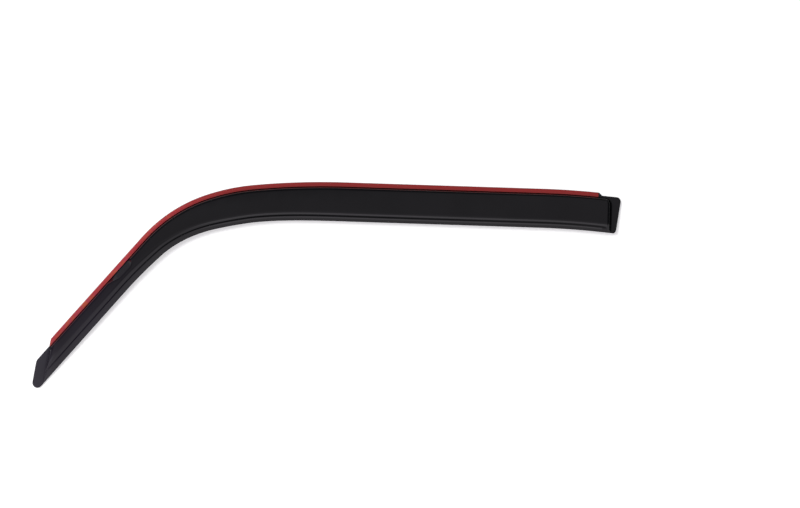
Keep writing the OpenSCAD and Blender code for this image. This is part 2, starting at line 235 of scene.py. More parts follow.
# X at which the painted paling of the sheet's tint starts and is palest, in metres, down the pillar and on
# the tip tab; the paling is painted light
PILLAR_PAINTED_PALE = (-0.23, -0.35)
TIP_PAINTED_PALE = (-0.385, -0.418)
# Where the film is painted brighter and redder as painted light, and where more of its rubbed patches show,
# which also paints it brighter, in metres along the flange's edge
FILM_PAINTED_BRIGHTER = (0.54, 0.66)
FILM_WEAR_AND_LIGHT = (0.5, 0.75)
# How bright the gloss shows the paper, as the small sheet that it is
PAPER_IN_GLOSS = 0.66
# Radiance of the dark left of the room, the room's level low in front as a share of the level overhead,
# and the level of the wall in front at its right end as a share of the rest
DARK_LEFT = 0.02
LOW_IN_FRONT = 0.5
WALL_RIGHT = 1.12


def ease(t):
    """A smooth step from 0 to 1."""
    c = min(max(t, 0), 1)
    return c * c * (3 - 2 * c)


def spread(a, b, n):
    """n equal steps from a to b, without b itself."""
    return [a + (b - a) * i / n for i in range(n)]


def chord(run, heading, turn):
    """Plan vector from one end of an arc to the other."""
    half = turn / 2
    shrink = 1 if abs(half) < 1e-7 else math.sin(half) / half
    return -run * shrink * math.cos(heading + half), run * shrink * math.sin(heading + half)


def corner_trim(e, r, phi):
    """What a round corner takes off a station at distance e from the end edge."""
    if e >= r * (1 + math.cos(phi)):
        return 0
    e = max(e, 0)
    arc = math.sqrt(max(r * r - (r - e) * (r - e), 0))
    return math.sin(phi) * (r / math.tan(phi / 2) - arc - e / math.tan(phi))


def slope_height(d, rise, run, foot_radius, top_radius):
    """Height of a slope with a rounded foot and top, from 0 before it to rise after it."""
    a = math.atan2(rise, run)
    foot_t = foot_radius * math.tan(a / 2)
    top_t = top_radius * math.tan(a / 2)
    if d <= -foot_t:
        return 0
    if d < foot_t * math.cos(a):
        return foot_radius - math.sqrt(foot_radius ** 2 - (d + foot_t) ** 2)
    if d < run - top_t * math.cos(a):
        return d * rise / run
    if d < run + top_t:
        return rise - top_radius + math.sqrt(top_radius ** 2 - (run + top_t - d) ** 2)
    return rise


def inside(across, along, r, stretch):
    """Distance inside the raised face's plan, round where an end wall meets the step."""
    if across < r and along < r:
        q = r - along
        d = max(math.hypot(r - across, q), SheetForm.LEAST_R)
        return (r - d) / (1 + (stretch - 1) * q * q / (d * d))
    return min(across, along / stretch)


def crease_fall(u, first, middle, last):
    """Fall over the crease at u from 0 to 1, where the slope goes from first to middle to last."""
    p = min(u, CREASE_IN)
    q = min(max(u - CREASE_IN, 0), CREASE_OUT - CREASE_IN)
    r = max(u - CREASE_OUT, 0)
    way_in = first * p + (middle - first) * p * p / (2 * CREASE_IN)
    return way_in + middle * (q + r) + (last - middle) * r * r / (2 * (1 - CREASE_OUT))


class SheetForm:
    """The sheet as height functions of s along the flange's edge and v across it, in metres."""

    # Length over which a slanting cut starts, then the least radius, width of the face and space
    # between rows
    CUT_STEP = 0.0003
    LEAST_R = 0.0003
    LEAST_FACE = 0.001
    LEAST_ROW = 0.0005

    def __init__(self, *groups):
        for group in groups:
            for name in group.bl_rna.properties.keys():
                if name not in ("rna_type", "name"):
                    setattr(self, name, getattr(group, name))
        self.bends = [
            (self.droop_len, -self.droop_turn),
            (self.run_len, 0),
            (self.lead_len, -self.lead_turn),
            (self.shoulder_len, -self.shoulder_turn),
            (self.corner_len, -self.corner_turn),
            (self.pillar_len, 0),
        ]
        self.run_heading = self.rear_heading - self.droop_turn
        self.run_end = self.droop_len + self.run_len
        self.lead_end = self.run_end + self.lead_len
        self.shoulder_end = self.lead_end + self.shoulder_len
        self.corner_end = self.shoulder_end + self.corner_len
        self.flange_end = self.corner_end + self.pillar_len
        self.rear_end = -self.rear_reach
        self.tip_end = self.flange_end + self.tip_reach
        self.rear_foot = -self.rear_wall
        self.tip_slope_len = self.tip_wall_run / math.sin(self.tip_angle)
        self.tip_foot = self.flange_end - self.tip_crest + self.tip_slope_len
        self.relief_start = self.flange_end - self.relief_from_tip
        self.relief_end = self.relief_start + self.relief_len
        self.swing_start = self.flange_end - self.tip_crest - self.swing_len
        half_step = math.atan2(self.step_rise, self.step_run) / 2
        self.foot_rounding = self.foot_r * math.tan(half_step)
        self.inner_shift = self.even_shift(self.step_run)
        self.inner_foot_r = self.foot_r + self.wall
        self.inner_top_r = max(self.top_r - self.wall, self.LEAST_R)
        self.step_foot = self.tape_margin + self.tape_w + self.tape_gap + self.foot_rounding
        self.starts = [(0.0, self.rear_heading, 0.0, 0.0)]
        for run, turn in self.bends:
            s, h, x, y = self.starts[-1]
            dx, dy = chord(run, h, turn)
            self.starts.append((s + run, h + turn, x + dx, y + dy))
        run_x, run_y = self.edge_point(self.droop_len)
        across = (-math.sin(self.run_heading), -math.cos(self.run_heading))
        self.drop = lambda p: (p[0] - run_x) * across[0] + (p[1] - run_y) * across[1]
        ends = spread(self.flange_end, self.tip_end, 12)
        self.nose_drop = max(self.drop(self.plan(s, self.v_last(s))) for s in ends)

    def even_shift(self, run):
        """Shift of an inner slope against the outer one, which keeps the wall even."""
        return self.wall * math.tan(math.atan2(self.step_rise, run) / 2)

    def bend_at(self, s):
        """Index of the bend that holds s, or None before the first or past the last."""
        if s <= 0:
            return None
        for i in range(len(self.bends)):
            if s < self.starts[i + 1][0]:
                return i
        return None

    def edge_heading(self, s):
        """Slope of the edge at s."""
        i = self.bend_at(s)
        if i is None:
            return self.starts[0 if s <= 0 else -1][1]
        start, h = self.starts[i][:2]
        return h + self.bends[i][1] * (s - start) / self.bends[i][0]

    def edge_point(self, s):
        """Plan point of the edge at s."""
        i = self.bend_at(s)
        start, h, x, y = self.starts[0 if s <= 0 else -1] if i is None else self.starts[i]
        turn = 0 if i is None else self.bends[i][1] * (s - start) / self.bends[i][0]
        dx, dy = chord(s - start, h, turn)
        return x + dx, y + dy

    def lean(self, s):
        """How far the station at s moves along the edge for each metre across."""
        if s < self.droop_len:
            tab = ease((self.rear_foot - s) / (self.rear_foot - self.rear_end))
            return -math.tan(self.edge_heading(s) - self.run_heading) + math.tan(self.rear_slant) * tab
        return ease((s - self.swing_start) / self.swing_len) / math.tan(self.tip_angle)

    def narrowing(self, s):
        """The narrowing from the run to the pillar, 0 to 1."""
        start = self.lead_end + self.taper_start
        return ease((s - start) / (self.corner_end + self.taper_tail - start))

    def full_width(self, s):
        """Width of the sheet at s, before its corners are rounded."""
        lead = self.lead_loss * ease((s - self.run_end) / self.lead_len)
        return self.run_w - lead - (self.run_w - self.lead_loss - self.pillar_w) * self.narrowing(s)

    def crease_at(self, s):
        """Distance of the crease from the flange's edge."""
        lip = self.lip_w + (self.pillar_lip_w - self.lip_w) * self.narrowing(s)
        return self.full_width(s) - lip

    def plan(self, s, v):
        """Plan point at s along the edge and v across it."""
        h = self.edge_heading(s)
        x, y = self.edge_point(s)
        lean = self.lean(s)
        return (
            x + v * (-math.sin(h) - lean * math.cos(h)),
            y + v * (-math.cos(h) + lean * math.sin(h)),
        )

    def v_first(self, s):
        """First v of the station at s."""
        if 0 <= s <= self.flange_end:
            return 0
        if s > self.flange_end:
            e = (self.tip_end - s) * math.sin(self.tip_angle)
            cut = min((s - self.flange_end) / self.CUT_STEP, 1) * self.tip_inset
            return cut + corner_trim(e, self.tip_r, math.pi - self.tip_angle)
        cut = min(-s / self.rear_cut, 1) * self.rear_inset
        return cut + corner_trim(s - self.rear_end, self.rear_r, math.pi / 2 - self.rear_slant)

    def v_last(self, s):
        """Last v of the station at s."""
        e = (self.tip_end - s) * math.sin(self.tip_angle)
        return (
            self.full_width(s)
            - corner_trim(e, self.nose_r, self.tip_angle)
            - corner_trim(s - self.rear_end, self.rear_r, math.pi / 2 + self.rear_slant)
        )

    def side_run(self, s):
        """Plan width of the step's slope, which the relief widens."""
        x = s - self.relief_start
        if x <= 0 or x >= self.relief_len:
            return self.step_run
        if x < self.relief_head:
            return self.step_run + self.relief_w * math.sqrt(1 - (1 - x / self.relief_head) ** 2)
        tail = ease((x - (self.relief_len - self.relief_tail)) / self.relief_tail)
        return self.step_run + self.relief_w * (1 - tail * TAIL_LOSS)

    def end_along(self, s):
        """Distance inside the foot of the nearer end wall."""
        if s < self.run_end:
            return s - self.rear_foot
        return (self.tip_foot - s) * math.sin(self.tip_angle)

    def end_run(self, s):
        """Plan width of the nearer end wall."""
        return self.rear_wall_run if s < self.run_end else self.tip_wall_run

    def fall(self, s, v):
        """How far the outer face has fallen at v, below the top of the step."""
        crease = self.crease_at(s) - self.crease_w / 2
        start = self.step_foot + self.step_run
        roll_start = crease - self.roll_w
        t = max(v - start, 0) / (roll_start - start)
        roll = max(min(v, crease) - roll_start, 0) / self.roll_w
        u = min(max(v - crease, 0) / self.crease_w, 1)
        roll_slope = 2 * self.roll_fall / self.roll_w
        lip_slope = math.tan(self.lip_slope)
        flatter = math.tan(self.lip_start)
        lip = max(v - crease - self.crease_w, 0)
        bend = min(lip, self.lip_bend)
        plain = (roll_slope + lip_slope) / 2
        fade = ease((s - self.rear_foot - self.rear_wall_run) / self.crease_fade)
        middle = plain - (plain + math.tan(self.crease_lean)) * fade
        dip = ease(min(u / GROOVE_DEEPEST, (1 - u) / (1 - GROOVE_DEEPEST)))
        return (
            self.face_fall * t * t
            + self.roll_fall * roll * roll
            + self.crease_w * crease_fall(u, roll_slope, middle, lip_slope - flatter)
            + lip * lip_slope
            - flatter * (bend - bend * bend / (2 * self.lip_bend))
            + self.groove * self.narrowing(s) * dip
        )

    def raised(self, s, v, inner, foot_radius, top_radius):
        """Height of the raised part above the flange, on the outer side or the inner one."""
        run = self.end_run(s)
        r = self.rear_wall_r if s < self.run_end else self.tip_wall_r
        across = v - self.step_foot - inner * self.inner_shift
        along = self.end_along(s) - inner * self.even_shift(run)
        d = inside(across, along, r, run / self.step_run)
        z = slope_height(d, self.step_rise, self.side_run(s), foot_radius, top_radius)
        soft = max(1 - max(d - self.side_run(s), 0) / self.soft_top_w, 0)
        return z / self.step_rise * (self.step_rise - self.fall(s, v) - self.soft_top_fall * soft * soft)

    def outer_height(self, s, v):
        """Height of the outer side, with its rounded rim and lower edge."""
        z = self.raised(s, v, 0, self.foot_r, self.top_r)
        t = min(max((v - self.v_last(s)) / self.edge_r + 1, 0), 1)
        edge = self.edge_r * (1 - math.sqrt(1 - t * t))
        rim = min(max(1 - (v - self.v_first(s)) / self.rim_r, 0), 1)
        rim_cut = self.rim_r * (1 - math.sqrt(1 - rim * rim))
        return self.wall + z - edge * z / self.step_rise - rim_cut

    def inner_height(self, s, v):
        """Height of the inner side."""
        return self.raised(s, v, 1, self.inner_foot_r, self.inner_top_r)

    def solid_point(self, s, v, z):
        """A point of the sheet, bent over the barrel of the side glass."""
        x, y = self.plan(s, v)
        drop = self.drop((x, y))
        return x, y, z + drop * (self.nose_drop - drop) / (2 * self.glass_radius)

    def stops(self, s, shift, foot_radius, top_radius):
        """Values of v at which the station at s is drawn, from the flange's edge to the lower edge."""
        first, last = self.v_first(s), self.v_last(s)
        crease = self.crease_at(s) - self.crease_w / 2
        past = crease + self.crease_w
        run = self.side_run(s)
        a = math.atan2(self.step_rise, run)
        start = self.step_foot + shift
        foot = start - foot_radius * math.tan(a / 2)
        top = start + run + top_radius * math.tan(a / 2)
        roll = max(crease - self.roll_w, top + self.LEAST_FACE)
        bend = [foot + foot_radius * math.sin(a * k / 5) for k in range(6)]
        bend += [top - top_radius * math.sin(a * k / 7) for k in range(7, -1, -1)]
        face = [top + (roll - top) * k for k in FACE_STOPS]
        face += [roll + (crease - roll) * k for k in ROLL_STOPS]
        face += [crease + self.crease_w * k for k in CREASE_STOPS]
        face += [past + (last - self.edge_r - past) * k for k in LIP_STOPS]
        rim = [self.rim_r * (1 - math.cos(k * math.pi / 8)) for k in range(5)]
        edge = [last - self.edge_r * (1 - math.sin(k * math.pi / 12)) for k in range(7)]
        # Past an end wall, or where the tab's corner has cut into the step, the columns are even
        if self.end_along(s) < -self.foot_r * self.end_run(s) / self.step_run or first >= foot:
            low, high = first + self.rim_r, last - self.edge_r
            n = len(bend) + len(face) + 2
            body = [low + (high - low) * (k + 1) / (n + 1) for k in range(n)]
            return [first + x for x in rim] + body + edge
        squeeze = (foot - first - self.rim_r) / (foot - self.rim_r)
        body = [first + self.rim_r + (foot * k - self.rim_r) * squeeze for k in FLANGE_STOPS]
        wide = [min(x, last - self.edge_r) for x in bend + face]
        return [first + x for x in rim] + body + wide + edge

    def stations(self):
        """Every s at which the sheet is drawn, from the end of the rear tab to the end of the tip tab."""
        # The end walls are drawn finely, to about three times their slope's width inside them
        rear_top = self.rear_foot + self.rear_wall_run * 2.9
        tip_start = self.tip_foot - 3 * self.tip_slope_len
        tip_wall_end = self.tip_foot + 0.45 * self.tip_slope_len
        quarter = [math.radians(x) for x in range(0, 91, 5)]
        nose = [self.tip_end - (self.tip_reach - self.CUT_STEP) * (1 - math.cos(a)) for a in quarter[::-1]]
        wall = spread(tip_start, tip_wall_end, 60)
        relief_mid = self.relief_start + self.relief_head
        relief_low = self.relief_end - self.relief_tail
        return [
            *[self.rear_end + self.rear_r * (1 - math.cos(a)) for a in quarter],
            *spread(self.rear_foot - self.rear_wall_run, rear_top, 44),
            *spread(rear_top, -self.rear_cut, 6),
            *spread(-self.rear_cut, 0, 4),
            *spread(0, self.droop_len, 16),
            *spread(self.droop_len, self.run_end, 20),
            *spread(self.run_end, self.lead_end, 22),
            *spread(self.lead_end, self.shoulder_end, 18),
            *spread(self.shoulder_end, self.corner_end, 34),
            *spread(self.corner_end, self.relief_start, 10),
            *[self.relief_start + self.relief_head * (k / 16) ** 2 for k in range(16)],
            *spread(relief_mid, relief_low, 8),
            *spread(relief_low, self.relief_end, 16),
            self.relief_end,
            *spread(self.relief_end + self.CUT_STEP, tip_start, 24),
            *[s for s in wall if s < self.flange_end - self.CUT_STEP],
            self.flange_end,
            nose[0],
            *[s for s in wall if s > nose[0] + self.CUT_STEP],
            *[s for s in nose if s > max(nose[0], tip_wall_end - self.CUT_STEP) + self.CUT_STEP],
        ]

    def sheet_grids(self):
        """The outer and inner grids of points, and the (s, v) of each outer point."""
        outer, inner, marks = [], [], []
        for s in self.stations():
            over = self.stops(s, 0, self.foot_r, self.top_r)
            under = self.stops(s, self.inner_shift, self.inner_foot_r, self.inner_top_r)
            outer.append([self.solid_point(s, v, self.outer_height(s, v)) for v in over])
            inner.append([self.solid_point(s, v, self.inner_height(s, v)) for v in under])
            marks.append([(s, v) for v in over])
        return outer, inner, marks

    def strip_grids(self, bottom, top, bulge):
        """Grids of a strip of tape on the flange; bulge rounds its long sides."""
        start = self.tape_rear_gap
        stop = self.flange_end - self.tape_tip_gap
        round_len = self.tape_end_r * (1 - math.cos(self.tip_angle)) / math.sin(self.tip_angle)
        low, high = start + self.LEAST_ROW, stop - round_len - self.LEAST_ROW
        rows = [start] + [s for s in self.stations() if low < s < high]
        rows += [stop - round_len * k for k in TAPE_END_STOPS]
        grids = ([], [])
        marks = []
        for s in rows:
            e = (stop - s) * math.sin(self.tip_angle)
            first = self.tape_margin + corner_trim(e, self.tape_end_r, math.pi - self.tip_angle)
            last = self.tape_margin + self.tape_w
            across = [first, first + bulge, (first + last) / 2, last - bulge, last]
            for grid, z, sign in ((grids[0], top, -1), (grids[1], bottom, 1)):
                drop = bulge * sign * EDGE_DROP
                lift = (drop, 0, 0, 0, drop)
                grid.append([self.solid_point(s, v, z + dz) for v, dz in zip(across, lift)])
            marks.append([(s, v) for v in across])
        return grids[0], grids[1], marks


def form_of(scene):
    """The form for the sizes that the scene holds."""
    return SheetForm(scene.deflector_edge, scene.deflector_sheet, scene.deflector_ends, scene.deflector_tape)


def sheet_origin(form):
    """Shift from the form's own plane to the CAD frame, taken from the CAD box of the shell."""
    outer, inner, _ = form.sheet_grids()
    low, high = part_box("deflector_shell")
    points = [p for grid in (outer, inner) for row in grid for p in row]
    spans = [(min(p[i] for p in points), max(p[i] for p in points)) for i in range(3)]
    return [
        (low[0] + high[0] - spans[0][0] - spans[0][1]) / 2,
        (low[1] + high[1] - spans[1][0] - spans[1][1]) / 2,
        low[2] - spans[2][0],
    ]


def lofted_mesh(name, top, bottom, marks, shift):
    """A closed mesh between two grids, with s and v kept as a UV map in metres."""
    rows, cols = len(top), len(top[0])
    under = rows * cols
    points = [[c + d for c, d in zip(p, shift)] for grid in (top, bottom) for row in grid for p in row]
    faces = []
    for i in range(rows - 1):
        for j in range(cols - 1):
            a, b = i * cols + j, (i + 1) * cols + j
            faces.append((a, b, b + 1, a + 1))
            faces.append((under + a, under + a + 1, under + b + 1, under + b))
        a, b = i * cols, (i + 1) * cols
        faces.append((a, under + a, under + b, b))
        a, b = a + cols - 1, b + cols - 1
        faces.append((b, under + b, under + a, a))
    for j in range(cols - 1):
        a = (rows - 1) * cols + j
        faces.append((j + 1, under + j + 1, under + j, j))
        faces.append((a, under + a, under + a + 1, a + 1))
    mesh = bpy.data.meshes.new(name)
    mesh.from_pydata(points, [], faces)
    layer = mesh.uv_layers.new(name="along_across")
    flat = [mark for _ in range(2) for row in marks for mark in row]
    for loop in mesh.loops:
        layer.data[loop.index].uv = flat[loop.vertex_index]
    mesh.polygons.foreach_set("use_smooth", [True] * len(mesh.polygons))
    mesh.set_sharp_from_angle(angle=SHARP_ANGLE)
    mesh.validate()
    return mesh


def place_piece(name, mesh, material, node):
    """Puts a mesh in the scene in place of its CAD node."""
    piece = bpy.data.objects.new(name, mesh)
    bpy.context.scene.collection.objects.link(piece)
    mesh.materials.append(material)
    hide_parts(node)
    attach(piece, "root")
    return piece


def new_tree(name):
    """A material with an empty node tree."""
    material = bpy.data.materials.new(name)
    material.use_nodes = True
    material.node_tree.nodes.clear()
    return material, material.node_tree


def add(tree, kind, inputs=None, **settings):
    """Adds a node. An input takes a value, or the output socket that it is linked to."""
    made = tree.nodes.new(kind)
    for name, value in settings.items():
        setattr(made, name, value)
    for name, value in (inputs or {}).items():
        if isinstance(value, bpy.types.NodeSocket):
            tree.links.new(value, made.inputs[name])
        else:
            made.inputs[name].default_value = value
    return made


def smoked_acrylic(smoke, smoke_pillar_painted_light, smoke_tip_painted_light):
    """Smoked acrylic sheet, thermoformed over a tool.

    The tint is so deep that over its own shadow the sheet looks black. What shows is the gloss:
    a dim room overhead, a paler one towards the lower edge, and the red film in the step's wall.
    """
    material, tree = new_tree("smoked_acrylic")
    place = add(tree, "ShaderNodeTexCoord").outputs["Object"]
    x = add(tree, "ShaderNodeSeparateXYZ", {0: place}).outputs["X"]
    # The tint is painted paler down the pillar, over about 120 mm: painted light, for the brighter look that
    # the same sheet has there
    pillar = add(
        tree,
        "ShaderNodeMapRange",
        {"Value": x, "From Min": PILLAR_PAINTED_PALE[0], "From Max": PILLAR_PAINTED_PALE[1]},
        interpolation_type="SMOOTHSTEP",
    )
    sheet = add(tree, "ShaderNodeMix", {0: pillar.outputs[0], 6: smoke, 7: smoke_pillar_painted_light}, data_type="RGBA")
    # The tip tab's tint is painted paler, as painted light: it stands in for the white ground that shows
    # through the thin tab where it lies flat
    tip = add(
        tree,
        "ShaderNodeMapRange",
        {"Value": x, "From Min": TIP_PAINTED_PALE[0], "From Max": TIP_PAINTED_PALE[1]},
        interpolation_type="SMOOTHSTEP",
    )
    tint = add(
        tree,
        "ShaderNodeMix",
        {0: tip.outputs[0], 6: sheet.outputs[2], 7: smoke_tip_painted_light},
        data_type="RGBA",
    )
    # Uneven stretch of the tint, in clouds of about 70 mm
    cloud = add(tree, "ShaderNodeTexNoise", {"Vector": place, "Scale": 14, "Detail": 2, "Roughness": 0.5})
    shade = add(
        tree,
        "ShaderNodeMapRange",
        {"Value": cloud.outputs[0], "From Min": 0.3, "From Max": 0.7, "To Min": 0.8, "To Max": 1.25},
    )
    tinted = add(
        tree,
        "ShaderNodeVectorMath",
        {0: tint.outputs[2], "Scale": shade.outputs[0]},
        operation="SCALE",
    )
    # Haze from handling and dust, in smears of about 25 mm
    haze = add(tree, "ShaderNodeTexNoise", {"Vector": place, "Scale": 40, "Detail": 5, "Roughness": 0.65})
    rough = add(
        tree,
        "ShaderNodeMapRange",
        {"Value": haze.outputs[0], "From Min": 0.35, "From Max": 0.75, "To Min": 0.06, "To Max": 0.13},
    )
    # Ripple of the formed sheet, about 30 mm long and a tenth of a millimetre deep at most
    ripple = add(tree, "ShaderNodeTexNoise", {"Vector": place, "Scale": 33, "Detail": 1, "Roughness": 0.4})
    wave = add(tree, "ShaderNodeBump", {"Strength": 1.0, "Distance": 0.0001, "Height": ripple.outputs[0]})
    # Orange peel of the gloss, about 2.5 mm across
    peel = add(tree, "ShaderNodeTexNoise", {"Vector": place, "Scale": 400, "Detail": 1})
    skin = add(
        tree,
        "ShaderNodeBump",
        {"Strength": 1.0, "Distance": 0.000002, "Height": peel.outputs[0], "Normal": wave.outputs[0]},
    )
    gloss = add(
        tree,
        "ShaderNodeBsdfPrincipled",
        {
            "Base Color": tinted.outputs[0],
            "Roughness": rough.outputs[0],
            "IOR": 1.49,
            "Normal": skin.outputs[0],
        },
    )
    add(tree, "ShaderNodeOutputMaterial", {"Surface": gloss.outputs[0]})
    return material


def acrylic_foam(foam):
    """Closed-cell acrylic foam tape, cast and slit.

    Its cut sides are matt and pitted, so they only show as a soft dark line below the film.
    """
    material, tree = new_tree("acrylic_foam")
    place = add(tree, "ShaderNodeTexCoord").outputs["Object"]
    # Cells are 0.1 to 0.3 mm across, drawn 1 mm across so that they show
    cells = add(tree, "ShaderNodeTexVoronoi", {"Vector": place, "Scale": 1000})
    shade = add(
        tree,
        "ShaderNodeMapRange",
        {"Value": cells.outputs["Distance"], "From Max": 0.8, "To Min": 0.75, "To Max": 1.3},
    )
    grey = add(tree, "ShaderNodeVectorMath", {0: foam[:3], "Scale": shade.outputs[0]}, operation="SCALE")
    pits = add(
        tree,
        "ShaderNodeBump",
        {"Strength": 1.0, "Distance": 0.0001, "Height": cells.outputs["Distance"]},
    )
    matt = add(
        tree,
        "ShaderNodeBsdfPrincipled",
        {"Base Color": grey.outputs[0], "Roughness": 0.85, "IOR": 1.45, "Normal": pits.outputs[0]},
    )
    add(tree, "ShaderNodeOutputMaterial", {"Surface": matt.outputs[0]})
    return material


def release_film(liner, liner_painted_brighter, liner_worn, liner_pink):
    """Polyester release film, dyed red, cast and slit.

    It is a satin skin with orange and pink stretches where it has lifted from the tape or been
    rubbed, and short wrinkles that run across it.
    """
    material, tree = new_tree("release_film")
    along = add(tree, "ShaderNodeUVMap", uv_map="along_across").outputs[0]
    # Worn stretches of 20 to 60 mm, drawn out along the film
    stretch = add(tree, "ShaderNodeMapping", {"Vector": along, "Scale": (28, 160, 1)})
    patch = add(
        tree,
        "ShaderNodeTexNoise",
        {"Vector": stretch.outputs[0], "Scale": 1, "Detail": 3, "Roughness": 0.6},
    )
    # Round the corner and down the pillar the film is painted brighter and redder, as painted light on the
    # same film, and more of its rubbed patches show there, which brightens it too
    s = add(tree, "ShaderNodeSeparateXYZ", {0: along}).outputs["X"]
    round_corner = add(
        tree,
        "ShaderNodeMapRange",
        {"Value": s, "From Min": FILM_PAINTED_BRIGHTER[0], "From Max": FILM_PAINTED_BRIGHTER[1]},
    )
    film = add(
        tree,
        "ShaderNodeMix",
        {0: round_corner.outputs[0], 6: liner, 7: liner_painted_brighter},
        data_type="RGBA",
    )
    # More rubbed patches show towards the pillar: partly wear, partly painted light that brightens the film
    # there
    handled_and_painted_light = add(
        tree,
        "ShaderNodeMapRange",
        {
            "Value": s,
            "From Min": FILM_WEAR_AND_LIGHT[0],
            "From Max": FILM_WEAR_AND_LIGHT[1],
            "To Min": -0.12,
            "To Max": 0.12,
        },
    )
    worn = add(tree, "ShaderNodeMath", {0: patch.outputs[0], 1: handled_and_painted_light.outputs[0]}, operation="ADD")
    amount = add(tree, "ShaderNodeMapRange", {"Value": worn.outputs[0], "From Min": 0.5, "From Max": 0.74})
    # They turn from orange to pink every 8 mm or so
    hue_place = add(tree, "ShaderNodeMapping", {"Vector": along, "Scale": (125, 40, 1)})
    hue_noise = add(tree, "ShaderNodeTexNoise", {"Vector": hue_place.outputs[0], "Scale": 1, "Detail": 1})
    turn = add(
        tree,
        "ShaderNodeMapRange",
        {"Value": hue_noise.outputs[0], "From Min": 0.45, "From Max": 0.56},
    )
    rubbed = add(tree, "ShaderNodeMix", {0: turn.outputs[0], 6: liner_worn, 7: liner_pink}, data_type="RGBA")
    red = add(
        tree,
        "ShaderNodeMix",
        {0: amount.outputs[0], 6: film.outputs[2], 7: rubbed.outputs[2]},
        data_type="RGBA",
    )
    # Wrinkles about 4 mm apart across the film
    folds = add(tree, "ShaderNodeMapping", {"Vector": along, "Scale": (260, 60, 1)})
    crinkle = add(tree, "ShaderNodeTexNoise", {"Vector": folds.outputs[0], "Scale": 1, "Detail": 2})
    relief = add(tree, "ShaderNodeBump", {"Strength": 1.0, "Distance": 0.00012, "Height": crinkle.outputs[0]})
    rough = add(
        tree,
        "ShaderNodeMapRange",
        {"Value": patch.outputs[0], "From Min": 0.3, "From Max": 0.7, "To Min": 0.3, "To Max": 0.45},
    )
    satin = add(
        tree,
        "ShaderNodeBsdfPrincipled",
        {
            "Base Color": red.outputs[2],
            "Roughness": rough.outputs[0],
            "IOR": 1.57,
            "Normal": relief.outputs[0],
        },
    )
    add(tree, "ShaderNodeOutputMaterial", {"Surface": satin.outputs[0]})
    return material


def white_paper(paper, glow):
    """Matt white paper, calendered. It is even, so it only shows the part's soft shadow."""
    material, tree = new_tree("white_paper")
    path = add(tree, "ShaderNodeLightPath")
    lift = add(tree, "ShaderNodeMath", {0: path.outputs["Is Camera Ray"], 1: glow}, operation="MULTIPLY")
    dimmed = tuple(c * PAPER_IN_GLOSS for c in paper[:3]) + (1.0,)
    shown = add(
        tree,
        "ShaderNodeMix",
        {0: path.outputs["Is Glossy Ray"], 6: paper, 7: dimmed},
        data_type="RGBA",
    )
    matt = add(tree, "ShaderNodeBsdfDiffuse", {"Color": shown.outputs[2]})
    white = add(tree, "ShaderNodeEmission", {"Strength": lift.outputs[0]})
    both = add(tree, "ShaderNodeAddShader", {0: matt.outputs[0], 1: white.outputs[0]})
    add(tree, "ShaderNodeOutputMaterial", {"Surface": both.outputs[0]})
    return material


